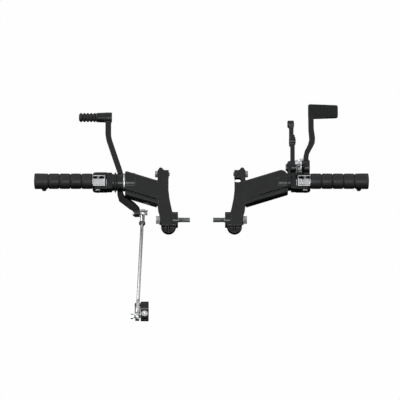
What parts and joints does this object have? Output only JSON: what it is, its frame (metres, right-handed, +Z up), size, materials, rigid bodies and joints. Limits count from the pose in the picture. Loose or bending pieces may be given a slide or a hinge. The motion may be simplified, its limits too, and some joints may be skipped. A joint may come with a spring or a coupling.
{
  "type": "motorcycle mid controls",
  "caption": "Black mid-mounted foot controls: left bracket with folding peg, shift lever and rod; right bracket with folding peg and brake pedal.",
  "frame": {"origin": "centre of the left bracket's frame face, on its main bolt's axis", "axes": "+X towards the motorcycle's right, +Y forward, +Z up"},
  "size_m": [0.6706, 0.4657, 0.1247],
  "materials": {
    "black_casting": "gloss black powder coat",
    "black_forging": "satin black powder coat",
    "rubber": "matt moulded rubber",
    "bright_steel": "bright zinc plate",
    "dull_zinc": "dull zinc plate",
    "bronze": "sintered bronze"
  },
  "bodies": {
    "root": {"left_bracket": "black_casting", "left_main_bolt": "dull_zinc", "left_main_washer": "dull_zinc", "left_upper_bolt": "dull_zinc", "left_peg_mount": "black_forging", "left_shank_washer": "dull_zinc", "left_shank_nut": "dull_zinc", "left_peg_pin": "bright_steel", "left_peg_pin_clip": "bright_steel", "thrust_washer": "bright_steel", "dust_seal": "rubber", "outer_spacer": "black_forging", "right_bracket": "black_casting", "right_main_bolt": "dull_zinc", "right_main_washer": "dull_zinc", "right_upper_bolt": "dull_zinc", "right_peg_mount": "black_forging", "right_shank_washer": "dull_zinc", "right_shank_nut": "dull_zinc", "right_peg_pin": "bright_steel", "right_peg_pin_clip": "bright_steel", "pivot_bolt": "black_forging", "pivot_washer": "bright_steel", "cylinder_bracket": "black_casting", "cylinder_bolts": "black_forging"},
    "left_peg": {"left_peg_core": "bright_steel", "left_peg_rubber": "rubber", "left_wear_nub": "dull_zinc"},
    "right_peg": {"right_peg_core": "bright_steel", "right_peg_rubber": "rubber", "right_wear_nub": "dull_zinc"},
    "shift_lever": {"shift_lever": "black_forging", "shift_lever_bush": "bronze", "toe_peg_core": "black_forging", "toe_peg_rubber": "rubber", "shift_rod_pin": "bright_steel", "split_pin": "bright_steel"},
    "shift_rod": {"front_rod_end": "bright_steel", "front_lock_nut": "bright_steel", "shift_rod": "bright_steel", "rear_lock_nut": "bright_steel", "rear_rod_end": "bright_steel"},
    "gearbox_lever": {"gearbox_lever": "black_forging", "ball_stud": "bright_steel", "stud_nut": "bright_steel", "pinch_bolt": "bright_steel"},
    "brake_pedal": {"brake_pedal": "black_forging", "pedal_bush": "bronze", "clevis_pin": "bright_steel", "clevis_pin_clip": "bright_steel"},
    "brake_clevis": {"brake_clevis": "bright_steel", "clevis_lock_nuts": "bright_steel", "push_rod": "bright_steel"}
  },
  "joints": [
    {"name": "left_peg_fold", "type": "hinge", "parent": "root", "child": "left_peg", "pos_m": [-0.1605, 0.07407, 0.02164], "axis": [0, 1, 0], "range_deg": [0, 80]},
    {"name": "right_peg_fold", "type": "hinge", "parent": "root", "child": "right_peg", "pos_m": [0.2545, 0.07407, 0.02164], "axis": [0, -1, 0], "range_deg": [0, 80]},
    {"name": "shift_lever_swing", "type": "hinge", "parent": "root", "child": "shift_lever", "pos_m": [-0.116, 0.07407, 0.02164], "axis": [1, 0, 0], "range_deg": [-12, 12]},
    {"name": "shift_rod_swing", "type": "hinge", "parent": "shift_lever", "child": "shift_rod", "pos_m": [-0.071, 0.0375, -0.03688], "axis": [1, 0, 0], "range_deg": [-20, 20]},
    {"name": "gearbox_lever_swing", "type": "hinge", "parent": "shift_rod", "child": "gearbox_lever", "pos_m": [-0.081, -0.20029, -0.03688], "axis": [1, 0, 0], "range_deg": [-30, 30]},
    {"name": "brake_pedal_press", "type": "hinge", "parent": "root", "child": "brake_pedal", "pos_m": [0.256, 0.1095, 0.0204], "axis": [-1, 0, 0], "range_deg": [0, 10]},
    {"name": "brake_clevis_swing", "type": "hinge", "parent": "brake_pedal", "child": "brake_clevis", "pos_m": [0.242, 0.096, 0.0617], "axis": [1, 0, 0], "range_deg": [0, 100]}
  ]
}
